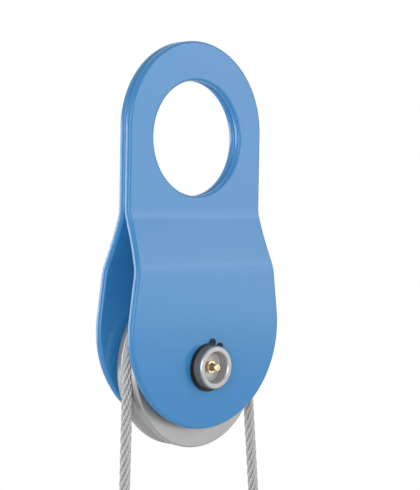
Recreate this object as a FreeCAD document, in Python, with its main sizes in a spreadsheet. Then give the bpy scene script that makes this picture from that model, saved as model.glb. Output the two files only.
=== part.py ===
import FreeCAD, Part
import math
import os
import re
import Sketcher

# Snatch block: two joggled cheek plates hang from a large eye and carry a grooved sheave on a hollow axle.
# A wire rope runs over the sheave, and each of its ends is turned back round a thimble in a pressed ferrule.
# Frame: millimetres, +Z up, origin at the centre of the eye on the plane between the two cheeks.
# The axle lies along Y below the eye, and its greased end points to -Y.

# Driving sizes: alias, millimetres or degrees, what it measures.
SIZES = [
    ("plate", 6.5, "thickness of each cheek plate"),
    ("cheek_gap", 0.2, "paint gap between the two plates where they meet in the eye"),
    ("inside_width", 33.0, "width between the cheeks beside the sheave"),
    ("eye_bore_radius", 47.0, "hole in the eye that the shackle goes through"),
    ("eye_wall", 25.8, "metal beside the hole of the eye"),
    ("eye_crown", 6.3, "how much thicker the eye is above the hole than beside it"),
    ("axle_drop", 185.0, "from the centre of the eye down to the axle"),
    ("disc_radius", 81.5, "round lower end of a cheek"),
    ("disc_rise", 30.6, "how far the centre of that round end lies above the axle"),
    ("shoulder_drop", 85.5, "from the centre of the eye down to where the sides start to widen"),
    ("shoulder_radius", 240.0, "hollow curve in the sides at that place"),
    ("joggle_drop", 62.0, "from the centre of the eye down to the upper bend"),
    ("joggle_length", 45.0, "height between the upper and the lower bend"),
    ("bend_radius", 28.0, "inner radius of both bends"),
    ("edge_round", 2.5, "rounding of the plate edges"),
    ("axle_radius", 17.5, "radius of the axle"),
    ("axle_stand", 10.1, "how far the axle stands out of each cheek"),
    ("axle_chamfer", 1.0, "chamfer on the axle ends"),
    ("cheek_fit", 0.05, "running clearance between the axle and a cheek"),
    ("recess_radius", 12.5, "recess in the greased end of the axle"),
    ("recess_depth", 9.0, "depth of that recess"),
    ("recess_chamfer", 0.8, "chamfer at the mouth of the recess"),
    ("duct_radius", 2.5, "grease ducts in the axle"),
    ("clip_thickness", 1.5, "thickness of a circlip"),
    ("clip_play", 0.1, "gap between a circlip and the cheek"),
    ("clip_groove_depth", 1.0, "depth of the groove that holds a circlip"),
    ("clip_band", 3.9, "height of a circlip's band opposite its lugs"),
    ("clip_thin_band", 2.3, "height of the band beside the lugs"),
    ("clip_hole_height", 4.0, "from the inner edge of a circlip out to the hole in a lug"),
    ("clip_lug_width", 4.8, "width of a lug, which is round about its hole"),
    ("clip_lug_flare", 1.2, "how much wider a lug's foot is on the side away from the gap"),
    ("clip_lug_spread", 13.0, "angle from the middle of the gap to each lug's hole"),
    ("clip_mouth", 5.0, "half the angle of the gap between the lugs"),
    ("clip_hole_radius", 1.25, "hole in each lug for the pliers"),
    ("front_clip_turn", 25.0, "how far the front circlip's gap is turned from the top"),
    ("rear_clip_turn", 150.0, "how far the rear circlip's gap is turned from the top"),
    ("flange_radius", 67.5, "outside radius of the sheave"),
    ("sheave_width", 24.0, "width of the sheave over its flanges"),
    ("tread_radius", 61.0, "radius at the bottom of the rope groove"),
    ("groove_radius", 5.0, "radius of the bottom of the groove"),
    ("groove_half_angle", 22.5, "slope of each groove flank against the middle plane"),
    ("flange_round", 1.4, "rounding of the flange edges"),
    ("flange_round_share", 0.45, "most of a flange's thickness at its rim that one rounding may take"),
    ("rim_inner_radius", 52.0, "inner radius of the sheave's rim"),
    ("web_thickness", 10.0, "thickness of the web between rim and hub"),
    ("web_fillet", 3.0, "fillet where the web meets the rim and the hub"),
    ("hub_radius", 31.0, "outside radius of the sheave's hub"),
    ("hub_length", 29.0, "length of the sheave's hub"),
    ("bush_wall", 3.0, "wall of the bush in the sheave"),
    ("bush_fit", 0.05, "running clearance between the axle and the bush"),
    ("oil_groove_width", 4.0, "width of the grease groove inside the bush"),
    ("oil_groove_depth", 0.8, "depth of the grease groove inside the bush"),
    ("washer_thickness", 1.5, "thickness of a thrust washer"),
    ("washer_radius", 28.0, "outside radius of a thrust washer"),
    ("washer_fit", 0.25, "clearance between the axle and a thrust washer"),
    ("nipple_hex", 9.0, "width over the flats of the grease nipple"),
    ("nipple_hex_height", 3.4, "height of that hexagon"),
    ("nipple_shank_radius", 4.0, "threaded shank of the nipple"),
    ("nipple_shank_length", 6.0, "length of that shank"),
    ("nipple_shank_chamfer", 0.5, "chamfer on the end of the shank"),
    ("nipple_hole_spare", 1.0, "how much deeper the hole in the axle is than the shank"),
    ("nipple_cone_radius", 3.6, "foot of the nipple's cone"),
    ("nipple_neck_radius", 2.4, "neck that the grease gun grips behind"),
    ("nipple_neck_height", 7.1, "height of that neck over the seat"),
    ("nipple_head_radius", 3.25, "widest place of the nipple's head"),
    ("nipple_head_height", 8.6, "height over the seat where the head is widest"),
    ("nipple_crown_height", 1.0, "height of the sloping crown of the head"),
    ("nipple_crown_inset", 1.2, "how far that crown slopes in"),
    ("nipple_height", 10.8, "height of the nipple over its seat"),
    ("nipple_bore_radius", 1.4, "bore that holds the ball and the spring"),
    ("nipple_mouth_radius", 0.8, "mouth that the ball closes"),
    ("nipple_lip", 1.4, "metal in front of the bore, where the ball seats on a cone"),
    ("spring_step", 1.0, "how far outside the nipple's seat the step lies that carries the spring"),
    ("ball_radius", 1.25, "ball in the nipple"),
    ("ball_play", 0.05, "clearance between the closed ball and its cone"),
    ("spring_wire_radius", 0.2, "wire of the spring behind the ball"),
    ("spring_radius", 0.95, "centreline radius of that spring"),
    ("spring_turns", 6.0, "turns of that spring"),
    ("rope_radius", 4.5, "radius of the wire rope"),
    ("rope_seat", 0.3, "clearance between the rope and the bottom of the sheave's groove"),
    ("ferrule_radius", 11.0, "outside radius of a pressed ferrule"),
    ("ferrule_length", 40.0, "length of a pressed ferrule"),
    ("ferrule_round", 1.5, "rounding of the ferrule ends"),
    ("rope_spacing", 9.4, "distance between the two rope runs inside a ferrule"),
    ("thimble_drop", 84.0, "from the top of a ferrule down to the thimble's centre"),
    ("thimble_radius", 18.5, "radius of the rope's centreline round a thimble"),
    ("thimble_seat", 0.3, "clearance between the rope and the thimble's channel"),
    ("thimble_wall", 2.0, "wall of a thimble"),
    ("thimble_taper", 24.7, "slope of a thimble's legs against its middle"),
    ("thimble_leg", 25.0, "length of a thimble's straight legs"),
    ("left_lean", 0.9, "how far the left rope leg leans outwards"),
    ("right_lean", 5.8, "how far the right rope leg leans outwards"),
    ("ferrule_drop", 310.0, "from the centre of the eye down to the ferrules"),
]

# The rope's route in the plane Y = 0, from one cut end to the other: X, Z and the bend radius at each corner.
# It goes round the left thimble, up and over the sheave in four corners, and down round the right thimble.
FERRULE_BEND = 40.0
THIMBLE_BEND = 18.3
SHEAVE_BEND = 65.6
ROPE_ROUTE = [
    (-58.3, -307.1, 0.0),
    (-59.1, -360.2, FERRULE_BEND),
    (-44.3, -393.7, THIMBLE_BEND),
    (-50.2, -408.3, THIMBLE_BEND),
    (-64.7, -414.2, THIMBLE_BEND),
    (-79.0, -407.8, THIMBLE_BEND),
    (-84.5, -393.2, THIMBLE_BEND),
    (-68.5, -359.9, FERRULE_BEND),
    (-65.4, -157.8, SHEAVE_BEND),
    (-28.9, -120.4, SHEAVE_BEND),
    (23.3, -118.1, SHEAVE_BEND),
    (62.8, -152.3, SHEAVE_BEND),
    (83.9, -359.8, FERRULE_BEND),
    (102.6, -391.4, THIMBLE_BEND),
    (98.4, -406.5, THIMBLE_BEND),
    (84.6, -414.1, THIMBLE_BEND),
    (69.7, -409.4, THIMBLE_BEND),
    (62.6, -395.5, THIMBLE_BEND),
    (74.5, -360.7, FERRULE_BEND),
    (69.2, -308.0, 0.0),
]

ALIASES = [alias for alias, value, meaning in SIZES]
SPARE = 10.0  # how far a cutting shape reaches past the metal that it cuts
NEAR = 0.001  # how close a named point lies to the edge that it picks
PARTS_FOLDER = "parts"

document = FreeCAD.newDocument("snatch_block")
sheet = document.addObject("Spreadsheet::Sheet", "sizes")
subparts = []


# Sheet and formulas

def fill_sheet():
    """Write every driving size into the sheet as a plain number with its alias and its meaning."""
    for row, (alias, value, meaning) in enumerate(SIZES, start=1):
        sheet.set(f"A{row}", alias)
        sheet.set(f"B{row}", str(value))
        sheet.set(f"C{row}", meaning)
        sheet.setAlias(f"B{row}", alias)
    document.recompute()


def bound(text):
    """Put the sheet's name before each alias in a formula, as a bound property needs it."""
    return re.sub(r"[a-z_]+", lambda word: f"sizes.{word[0]}" if word[0] in ALIASES else word[0], text)


def number(text):
    """The value of a formula at the sizes that the sheet holds now."""
    return float(sheet.evalExpression(text))


def point(x, y, z):
    """The point that three formulas give."""
    return FreeCAD.Vector(number(x), number(y), number(z))


# Bodies, sketches and features

def new_body(label):
    """A body for one sub-part, which its label names."""
    body = document.addObject("PartDesign::Body", label)
    body.Label = label
    subparts.append(body)
    return body


def new_sketch(body, name, plane):
    """A sketch on one of the body's own origin planes."""
    sketch = body.newObject("Sketcher::SketchObject", name)
    support = [feature for feature in body.Origin.OriginFeatures if feature.Role == plane]
    sketch.AttachmentSupport = [(support[0], "")]
    sketch.MapMode = "FlatFace"
    return sketch


def bind(sketch, formula, *constraint):
    """Add a dimension to the sketch and bind it to a formula."""
    index = sketch.addConstraint(Sketcher.Constraint(*constraint, number(formula)))
    sketch.setExpression(f"Constraints[{index}]", bound(formula))


def draw_circle(sketch, x, y, radius):
    """A circle with its centre and its radius given by formulas."""
    centre = FreeCAD.Vector(number(x), number(y), 0)
    circle = sketch.addGeometry(Part.Circle(centre, FreeCAD.Vector(0, 0, 1), number(radius)))
    bind(sketch, x, "DistanceX", -1, 1, circle, 3)
    bind(sketch, y, "DistanceY", -1, 1, circle, 3)
    bind(sketch, radius, "Radius", circle)


def draw_chain(sketch, corners, arcs=None, closed=True):
    """Sides from corner to corner, each corner a pair of formulas.

    arcs gives a side's number the two formulas of its centre and "left" or "right", the way that it turns.
    """
    arcs = arcs or {}
    places = [FreeCAD.Vector(number(x), number(y), 0) for x, y in corners]
    sides = []
    for side in range(len(places) if closed else len(places) - 1):
        start = places[side]
        finish = places[(side + 1) % len(places)]
        if side in arcs:
            sides.append(draw_arc(sketch, start, finish, *arcs[side]))
        else:
            sides.append((sketch.addGeometry(Part.LineSegment(start, finish)), 1, 2))
    for side, (index, start_end, finish_end) in enumerate(sides):
        x, y = corners[side]
        bind(sketch, x, "DistanceX", -1, 1, index, start_end)
        bind(sketch, y, "DistanceY", -1, 1, index, start_end)
        if closed or side + 1 < len(sides):
            following, next_start, next_finish = sides[(side + 1) % len(sides)]
            sketch.addConstraint(Sketcher.Constraint("Coincident", index, finish_end, following, next_start))
    if not closed:
        x, y = corners[-1]
        index, start_end, finish_end = sides[-1]
        bind(sketch, x, "DistanceX", -1, 1, index, finish_end)
        bind(sketch, y, "DistanceY", -1, 1, index, finish_end)


def draw_arc(sketch, start, finish, centre_x, centre_y, turn):
    """An arc between two corners.

    An arc of a sketch always runs to the left, so one that turns right is drawn backwards.
    Its ends are held already, so one dimension of its centre is enough: the one square to the chord.
    """
    centre = FreeCAD.Vector(number(centre_x), number(centre_y), 0)
    first, last = (start, finish) if turn == "left" else (finish, start)
    first_angle = math.atan2(first.y - centre.y, first.x - centre.x)
    last_angle = math.atan2(last.y - centre.y, last.x - centre.x)
    if last_angle <= first_angle:
        last_angle += 2 * math.pi
    circle = Part.Circle(centre, FreeCAD.Vector(0, 0, 1), start.distanceToPoint(centre))
    index = sketch.addGeometry(Part.ArcOfCircle(circle, first_angle, last_angle))
    if abs(finish.y - start.y) > abs(finish.x - start.x):
        bind(sketch, centre_x, "DistanceX", -1, 1, index, 3)
    else:
        bind(sketch, centre_y, "DistanceY", -1, 1, index, 3)
    return (index, 1, 2) if turn == "left" else (index, 2, 1)


def pad(body, name, sketch, length, side_type="Symmetric"):
    """Pad a sketch to a length that a formula gives."""
    feature = body.newObject("PartDesign::Pad", name)
    feature.Profile = sketch
    feature.SideType = side_type
    feature.setExpression("Length", bound(length))
    return feature


def pocket_through(body, name, sketch):
    """Cut a sketch through the whole body, both ways."""
    feature = body.newObject("PartDesign::Pocket", name)
    feature.Profile = sketch
    feature.Type = "ThroughAll"
    feature.SideType = "Symmetric"
    return feature


def turn_round_y(body, kind, name, sketch):
    """Revolve or groove a sketch that lies in the XY plane once round the Y axis."""
    feature = body.newObject(f"PartDesign::{kind}", name)
    feature.Profile = sketch
    feature.ReferenceAxis = (sketch, ["V_Axis"])
    feature.Angle = 360.0
    return feature


def round_edges(body, name, base, edges, radius, kind="Fillet", size="Radius"):
    """Fillet or chamfer the named edges of the feature before it."""
    feature = body.newObject(f"PartDesign::{kind}", name)
    feature.Base = (base, edges)
    feature.setExpression(size, bound(radius))
    return feature


def edges_through(feature, *places):
    """Names of the edges of a feature that pass through one of the points."""
    document.recompute()
    marks = [Part.Vertex(place) for place in places]
    return [
        f"Edge{index}"
        for index, edge in enumerate(feature.Shape.Edges, start=1)
        if any(edge.distToShape(mark)[0] < NEAR for mark in marks)
    ]


def place(subpart, x="0", y="0", z="0", axis=(0, 1, 0), angle="0"):
    """Put a sub-part where the formulas say, turned about an axis through its own origin."""
    subpart.Placement = FreeCAD.Placement(
        FreeCAD.Vector(0, 0, 0), FreeCAD.Rotation(FreeCAD.Vector(*axis), number(angle))
    )
    for letter, formula in zip("xyz", (x, y, z)):
        subpart.setExpression(f"Placement.Base.{letter}", bound(formula))


# Places that several pieces share

HALF_GAP = "(cheek_gap / 2)"
HALF_INSIDE = "(inside_width / 2)"
CHEEK_FACE = "(inside_width / 2 + plate)"
AXLE_HALF = "(inside_width / 2 + plate + axle_stand)"
EYE_RADIUS = "(eye_bore_radius + eye_wall)"
DISC_HEIGHT = "(disc_rise - axle_drop)"
CLIP_INNER = "(axle_radius - clip_groove_depth)"
BUSH_RADIUS = "(axle_radius + bush_wall)"
WASHER_MIDDLE = "((inside_width + hub_length) / 4)"
ROPE_PITCH = "(tread_radius + rope_seat + rope_radius)"
NIPPLE_PLACE = f"(recess_depth - {AXLE_HALF})"
BALL_CONE = "(nipple_lip - nipple_height)"
BALL_PLACE = f"({BALL_CONE} - nipple_bore_radius + (ball_radius + ball_play) * sqrt(2))"


# Cheeks

def cheek_outline():
    """Corners and arcs of a cheek, seen square to the plate: eye, straight and widening sides, round end.

    The sides widen along a line that touches the round end, and a hollow curve takes them into it.
    """
    rise = f"(-shoulder_drop - {DISC_HEIGHT})"
    slope = f"(atan({rise} / {EYE_RADIUS}) - acos(disc_radius / sqrt({EYE_RADIUS}^2 + {rise}^2)))"
    reach = f"(shoulder_radius * tan({slope} / 2))"
    curve_top = f"(-shoulder_drop + {reach})"
    curve_end = (f"({EYE_RADIUS} + {reach} * sin({slope}))", f"(-shoulder_drop - {reach} * cos({slope}))")
    disc_start = (f"(disc_radius * cos({slope}))", f"({DISC_HEIGHT} + disc_radius * sin({slope}))")
    right = [(EYE_RADIUS, "eye_crown"), (EYE_RADIUS, curve_top), curve_end, disc_start]
    left = [(f"-{x}", y) for x, y in reversed(right)]
    hollow_centre = f"({EYE_RADIUS} + shoulder_radius)"
    arcs = {
        1: (hollow_centre, curve_top, "left"),
        3: ("0", DISC_HEIGHT, "right"),
        5: (f"-{hollow_centre}", curve_top, "left"),
        7: ("0", "eye_crown", "right"),
    }
    return right + left, arcs


def make_cheek(label, half_turn):
    """A joggled plate: both halves of the block are the same piece, one of them turned round."""
    body = new_body(label)
    top = f"({EYE_RADIUS} + eye_crown + {SPARE})"
    bottom = f"({DISC_HEIGHT} - disc_radius - {SPARE})"
    lower_bend = "(-joggle_drop - joggle_length)"
    outer_lift = f"(plate * tan(atan(({HALF_INSIDE} - {HALF_GAP}) / joggle_length) / 2))"
    inner_face = [
        (HALF_GAP, top),
        (HALF_GAP, "-joggle_drop"),
        (HALF_INSIDE, lower_bend),
        (HALF_INSIDE, bottom),
    ]
    outer_face = [
        (CHEEK_FACE, bottom),
        (CHEEK_FACE, f"({lower_bend} + {outer_lift})"),
        (f"({HALF_GAP} + plate)", f"(-joggle_drop + {outer_lift})"),
        (f"({HALF_GAP} + plate)", top),
    ]
    side = new_sketch(body, f"{label}_side", "YZ_Plane")
    draw_chain(side, inner_face + outer_face)
    slab = pad(body, f"{label}_slab", side, f"2 * (disc_radius + eye_bore_radius + {SPARE})")

    hollow_bends = [point("0", *outer_face[2]), point("0", *inner_face[2])]
    tight = round_edges(body, f"{label}_bend_inside", slab, edges_through(slab, *hollow_bends), "bend_radius")
    full_bends = [point("0", *inner_face[1]), point("0", *outer_face[1])]
    wide = round_edges(
        body, f"{label}_bend_outside", tight, edges_through(tight, *full_bends), "bend_radius + plate"
    )
    document.recompute()

    outline = new_sketch(body, f"{label}_outline", "XZ_Plane")
    corners, arcs = cheek_outline()
    draw_chain(outline, corners, arcs)
    wide_side = f"(2 * (disc_radius + eye_bore_radius + {SPARE}))"
    around = [
        (f"-{wide_side}", f"({bottom} - {SPARE})"),
        (wide_side, f"({bottom} - {SPARE})"),
        (wide_side, f"({top} + {SPARE})"),
        (f"-{wide_side}", f"({top} + {SPARE})"),
    ]
    draw_chain(outline, around)
    pocket_through(body, f"{label}_cut_out", outline)

    eye = new_sketch(body, f"{label}_eye_circle", "XZ_Plane")
    draw_circle(eye, "0", "0", "eye_bore_radius")
    eye_cut = pocket_through(body, f"{label}_eye", eye)
    document.recompute()
    rounded = round_edges(body, f"{label}_edges", eye_cut, plate_rim(eye_cut.Shape), "edge_round")

    hole = new_sketch(body, f"{label}_axle_circle", "XZ_Plane")
    draw_circle(hole, "0", "-axle_drop", "axle_radius + cheek_fit")
    body.Tip = rounded
    pocket_through(body, f"{label}_axle_hole", hole)
    place(body, axis=(0, 0, 1), angle=half_turn)
    return body


def plate_rim(shape):
    """Names of the edges where a flat or bent side of the plate meets a wall that stands square to it."""
    def is_wall(face):
        u_low, u_high, v_low, v_high = face.ParameterRange
        return abs(face.normalAt((u_low + u_high) / 2, (v_low + v_high) / 2).y) < NEAR

    rim = []
    for index, edge in enumerate(shape.Edges, start=1):
        walls = [is_wall(face) for face in shape.ancestorsOfType(edge, Part.Face)]
        if len(walls) == 2 and walls[0] != walls[1]:
            rim.append(f"Edge{index}")
    return rim


# Axle and its circlips

def make_axle():
    """The hollow axle: a groove for a circlip at each end, a recess for the nipple, and grease ducts."""
    body = new_body("axle")
    shaft = new_sketch(body, "axle_circle", "XZ_Plane")
    draw_circle(shaft, "0", "0", "axle_radius")
    solid = pad(body, "axle_shaft", shaft, f"2 * {AXLE_HALF}")
    ends = [point("axle_radius", AXLE_HALF, "0"), point("axle_radius", f"-{AXLE_HALF}", "0")]
    round_edges(body, "axle_ends", solid, edges_through(solid, *ends), "axle_chamfer", "Chamfer", "Size")

    near = f"({CHEEK_FACE} + clip_play / 2)"
    far = f"({CHEEK_FACE} + clip_play * 3 / 2 + clip_thickness)"
    for name, side in (("front", "-"), ("rear", "")):
        groove = new_sketch(body, f"axle_{name}_groove_section", "XY_Plane")
        outer = f"(axle_radius + {SPARE})"
        inwards = [(CLIP_INNER, f"{side}{near}"), (outer, f"{side}{near}")]
        outwards = [(outer, f"{side}{far}"), (CLIP_INNER, f"{side}{far}")]
        draw_chain(groove, inwards + outwards)
        turn_round_y(body, "Groove", f"axle_{name}_groove", groove)

    recess = new_sketch(body, "axle_recess_section", "XY_Plane")
    floor = f"(recess_depth - {AXLE_HALF})"
    draw_chain(
        recess,
        [
            ("0", f"(-{AXLE_HALF} - {SPARE})"),
            (f"(recess_radius + recess_chamfer + {SPARE})", f"(-{AXLE_HALF} - {SPARE})"),
            ("recess_radius", f"(-{AXLE_HALF} + recess_chamfer)"),
            ("recess_radius", floor),
            ("nipple_shank_radius", floor),
            ("nipple_shank_radius", f"({floor} + nipple_shank_length + nipple_hole_spare)"),
            ("duct_radius", f"({floor} + nipple_shank_length + nipple_hole_spare)"),
            ("duct_radius", "duct_radius"),
            ("0", "duct_radius"),
        ],
    )
    turn_round_y(body, "Groove", "axle_recess", recess)

    duct = new_sketch(body, "axle_duct_circle", "XY_Plane")
    draw_circle(duct, "0", "0", "duct_radius")
    upwards = body.newObject("PartDesign::Pocket", "axle_duct")
    upwards.Profile = duct
    upwards.Type = "ThroughAll"
    upwards.SideType = "One side"
    upwards.Reversed = True
    place(body, z="-axle_drop")
    return body


def make_circlip(label, side, turn):
    """An outside circlip: its band is lower beside the gap, where a round lug with a hole stands on each end."""
    body = new_body(label)
    outline = new_sketch(body, f"{label}_band_circles", "XZ_Plane")
    shift = "((clip_band - clip_thin_band) / 2)"
    draw_circle(outline, "0", f"-{shift}", f"{CLIP_INNER} + (clip_band + clip_thin_band) / 2")
    draw_circle(outline, "0", "0", CLIP_INNER)
    pad(body, f"{label}_band", outline, "clip_thickness")

    half_width = "(clip_lug_width / 2)"
    foot = f"({CLIP_INNER} + clip_thin_band / 2)"
    hole_height = f"({CLIP_INNER} + clip_hole_height)"
    hole_x = f"({hole_height} * sin(clip_lug_spread))"
    hole_z = f"({hole_height} * cos(clip_lug_spread))"
    upright = [
        (foot, f"-{half_width}"),
        (hole_height, f"-{half_width}"),
        (hole_height, half_width),
        (foot, f"({half_width} + clip_lug_flare)"),
    ]
    holes = []
    for bend, way in (("left", "-"), ("right", "")):
        lug = new_sketch(body, f"{label}_{bend}_lug_outline", "XZ_Plane")
        corners = []
        for along, across in upright:
            x = f"({along} * sin(clip_lug_spread) + {across} * cos(clip_lug_spread))"
            z = f"({along} * cos(clip_lug_spread) - {across} * sin(clip_lug_spread))"
            corners.append((f"{way}{x}", z))
        draw_chain(lug, corners, {1: (f"{way}{hole_x}", hole_z, bend)})
        pad(body, f"{label}_{bend}_lug", lug, "clip_thickness")
        holes.append((f"{way}{hole_x}", hole_z))

    gap = new_sketch(body, f"{label}_gap_outline", "XZ_Plane")
    far = f"({hole_height} + {half_width} + {SPARE})"
    draw_chain(gap, [("0", "0"), (f"({far} * tan(clip_mouth))", far), (f"(-{far} * tan(clip_mouth))", far)])
    pocket_through(body, f"{label}_gap", gap)

    hole_circles = new_sketch(body, f"{label}_hole_circles", "XZ_Plane")
    for x, z in holes:
        draw_circle(hole_circles, x, z, "clip_hole_radius")
    pocket_through(body, f"{label}_holes", hole_circles)
    seat = f"({CHEEK_FACE} + clip_play + clip_thickness / 2)"
    place(body, y=f"{side}{seat}", z="-axle_drop", axis=(0, 1, 0), angle=turn)
    return body


# Sheave, bush and washers

def make_sheave():
    """The grooved wheel, turned from solid: hub, thin web and a rim with a round-bottomed rope groove."""
    body = new_body("sheave")
    half_width = "(sheave_width / 2)"
    half_hub = "(hub_length / 2)"
    half_web = "(web_thickness / 2)"
    root_centre = "(tread_radius + groove_radius)"
    flank_radius = f"({root_centre} - groove_radius * sin(groove_half_angle))"
    flank_width = "(groove_radius * cos(groove_half_angle))"
    mouth = f"({flank_width} + (flange_radius - {flank_radius}) * tan(groove_half_angle))"
    upper = [
        ("flange_radius", mouth),
        ("flange_radius", half_width),
        ("rim_inner_radius", half_width),
        ("rim_inner_radius", half_web),
        ("hub_radius", half_web),
        ("hub_radius", half_hub),
        (BUSH_RADIUS, half_hub),
    ]
    lower = [(x, f"-{y}") for x, y in reversed(upper)]
    section = new_sketch(body, "sheave_section", "XY_Plane")
    groove = [(flank_radius, f"-{flank_width}"), (flank_radius, flank_width)]
    corners = upper + lower + groove
    root_side = len(upper) + len(lower)
    draw_chain(section, corners, {root_side: (root_centre, "0", "right")})
    wheel = turn_round_y(body, "Revolution", "sheave_wheel", section)

    web_corners = []
    flange_corners = []
    for side in ("", "-"):
        web_corners.append(point("rim_inner_radius", f"{side}{half_web}", "0"))
        web_corners.append(point("hub_radius", f"{side}{half_web}", "0"))
        flange_corners.append(point("flange_radius", f"{side}{half_width}", "0"))
        flange_corners.append(point("flange_radius", f"{side}{mouth}", "0"))
    hollow = round_edges(body, "sheave_web_fillets", wheel, edges_through(wheel, *web_corners), "web_fillet")
    rounding = f"min(flange_round; flange_round_share * ({half_width} - {mouth}))"
    round_edges(body, "sheave_flange_rounds", hollow, edges_through(hollow, *flange_corners), rounding)
    place(body, z="-axle_drop")
    return body


def make_ring(label, inner, outer, length, y="0"):
    """A plain turned ring round the axle, with its middle at the given place along it."""
    body = new_body(label)
    section = new_sketch(body, f"{label}_circles", "XZ_Plane")
    draw_circle(section, "0", "0", outer)
    draw_circle(section, "0", "0", inner)
    pad(body, f"{label}_ring", section, length)
    place(body, y=y, z="-axle_drop")
    return body


def make_bush():
    """The bronze bush pressed into the sheave, with a grease groove over the axle's duct."""
    body = make_ring("sheave_bush", "axle_radius + bush_fit", BUSH_RADIUS, "hub_length")
    section = new_sketch(body, "sheave_bush_groove_section", "XY_Plane")
    half = "(oil_groove_width / 2)"
    bottom = "(axle_radius + bush_fit + oil_groove_depth)"
    corners = [("duct_radius", f"-{half}"), (bottom, f"-{half}"), (bottom, half), ("duct_radius", half)]
    draw_chain(section, corners)
    turn_round_y(body, "Groove", "sheave_bush_groove", section)
    return body


# Grease nipple

def make_nipple():
    """The nipple: hexagon, shank and a cone with a neck and a round head, bored for ball and spring."""
    body = new_body("grease_nipple")
    hexagon = new_sketch(body, "nipple_hexagon", "XZ_Plane")
    reach = "(nipple_hex / 2 / cos(30))"
    corners = [(f"{reach} * cos({angle})", f"{reach} * sin({angle})") for angle in range(0, 360, 60)]
    draw_chain(hexagon, corners)
    pad(body, "nipple_hex_pad", hexagon, "nipple_hex_height", "One side")

    section = new_sketch(body, "nipple_section", "XY_Plane")
    draw_chain(
        section,
        [
            ("0", "nipple_shank_length"),
            ("(nipple_shank_radius - nipple_shank_chamfer)", "nipple_shank_length"),
            ("nipple_shank_radius", "(nipple_shank_length - nipple_shank_chamfer)"),
            ("nipple_shank_radius", "0"),
            ("nipple_cone_radius", "0"),
            ("nipple_cone_radius", "-nipple_hex_height"),
            ("nipple_neck_radius", "-nipple_neck_height"),
            ("nipple_head_radius", "-nipple_head_height"),
            ("nipple_head_radius", "(nipple_crown_height - nipple_height)"),
            ("(nipple_head_radius - nipple_crown_inset)", "-nipple_height"),
            ("0", "-nipple_height"),
        ],
    )
    turn_round_y(body, "Revolution", "nipple_turning", section)

    bore = new_sketch(body, "nipple_bore_section", "XY_Plane")
    draw_chain(
        bore,
        [
            ("0", f"(nipple_shank_length + {SPARE})"),
            ("nipple_mouth_radius", f"(nipple_shank_length + {SPARE})"),
            ("nipple_mouth_radius", "-spring_step"),
            ("nipple_bore_radius", "-spring_step"),
            ("nipple_bore_radius", BALL_CONE),
            ("nipple_mouth_radius", f"({BALL_CONE} - nipple_bore_radius + nipple_mouth_radius)"),
            ("nipple_mouth_radius", f"(-nipple_height - {SPARE})"),
            ("0", f"(-nipple_height - {SPARE})"),
        ],
    )
    turn_round_y(body, "Groove", "nipple_bore", bore)
    place(body, y=NIPPLE_PLACE, z="-axle_drop")
    return body


def make_ball():
    """The ball that closes the nipple from inside."""
    ball = document.addObject("Part::Sphere", "nipple_ball")
    ball.Label = "nipple_ball"
    ball.setExpression("Radius", bound("ball_radius"))
    place(ball, y=f"{NIPPLE_PLACE} + {BALL_PLACE}", z="-axle_drop")
    subparts.append(ball)


def make_spring():
    """The spring that holds the ball shut: a wire swept along a helix, laid along the axle."""
    length = f"(-spring_step - {BALL_PLACE} - ball_radius - 2 * spring_wire_radius)"
    helix = document.addObject("Part::Helix", "nipple_spring_line")
    helix.setExpression("Radius", bound("spring_radius"))
    helix.setExpression("Height", bound(length))
    helix.setExpression("Pitch", bound(f"{length} / spring_turns"))
    wire = document.addObject("Part::Circle", "nipple_spring_wire")
    wire.setExpression("Radius", bound("spring_wire_radius"))
    wire.Placement.Rotation = FreeCAD.Rotation(FreeCAD.Vector(1, 0, 0), 90)
    wire.setExpression("Placement.Base.x", bound("spring_radius"))
    spring = document.addObject("Part::Sweep", "nipple_spring")
    spring.Label = "nipple_spring"
    spring.Sections = [wire]
    spring.Spine = helix
    spring.Solid = True
    spring.Frenet = True
    start = f"{NIPPLE_PLACE} - spring_step - spring_wire_radius"
    place(spring, y=start, z="-axle_drop", axis=(1, 0, 0), angle="90")
    subparts.append(spring)


# Rope and its end fittings

def rope_path():
    """The rope's centreline: straight runs joined by arcs that touch them, from the chosen corners."""
    corners = [FreeCAD.Vector(x, 0, z) for x, z, bend in ROPE_ROUTE]
    edges = []
    last = corners[0]
    for before, corner, after, (x, z, bend) in zip(corners, corners[1:], corners[2:], ROPE_ROUTE[1:]):
        inward = (before - corner).normalize()
        outward = (after - corner).normalize()
        half_turn = (math.pi - inward.getAngle(outward)) / 2
        reach = bend * math.tan(half_turn)
        middle = (inward + outward).normalize() * (bend / math.cos(half_turn) - bend)
        edges.append(Part.makeLine(last, corner + inward * reach))
        edges.append(Part.Arc(corner + inward * reach, corner + middle, corner + outward * reach).toShape())
        last = corner + outward * reach
    edges.append(Part.makeLine(last, corners[-1]))
    return Part.Wire(edges)


def make_rope():
    """The wire rope as one plain round tube along its route."""
    path = rope_path()
    first_run = path.Edges[0]
    start = first_run.FirstParameter
    section = Part.Circle(first_run.valueAt(start), first_run.tangentAt(start), sheet.rope_radius)
    rope = document.addObject("Part::Feature", "wire_rope")
    rope.Label = "wire_rope"
    rope.Shape = path.makePipeShell([Part.Wire(section.toShape())], True, False)
    rope.Placement = FreeCAD.Placement()
    subparts.append(rope)
    share = rope.Shape.Volume / (math.pi * sheet.rope_radius**2 * path.Length)
    print(f"rope: length {path.Length:.1f} mm, volume {share:.5f} of section times length")
    print("rope: bend radii", sorted({bend for x, z, bend in ROPE_ROUTE if bend}))


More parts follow.
